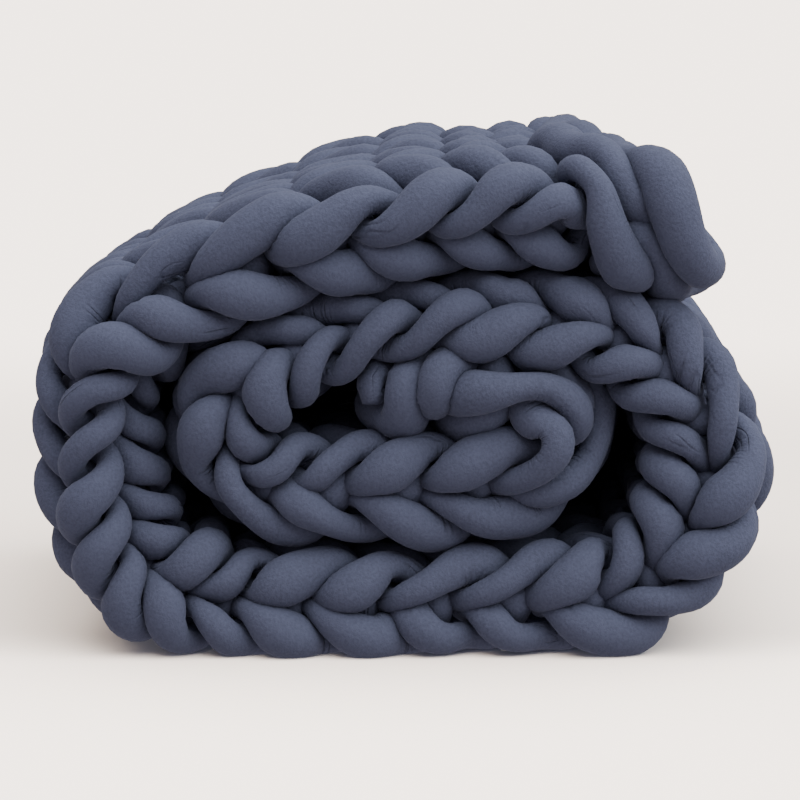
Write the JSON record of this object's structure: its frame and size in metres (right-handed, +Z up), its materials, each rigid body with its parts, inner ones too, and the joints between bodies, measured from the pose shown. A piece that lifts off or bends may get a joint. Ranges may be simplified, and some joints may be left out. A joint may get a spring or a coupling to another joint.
{
  "type": "weighted blanket",
  "caption": "Chunky hand-knitted weighted blanket of thick filled tube yarn, folded in half lengthwise, rolled up and laid down.",
  "frame": {"origin": "on the surface the roll rests on, under the middle of its bounding box", "axes": "+Z up; +Y along the roll's axis, from the folded end towards the end with the two long edges; +X to the right when the folded end is seen from the front, towards the side where the bound-off edge ends"},
  "size_m": [0.5155, 0.53, 0.3626],
  "materials": {
    "jersey_yarn": "matte cotton jersey tube yarn, slate blue"
  },
  "bodies": {
    "root": {"blanket_roll": "jersey_yarn"}
  },
  "joints": []
}
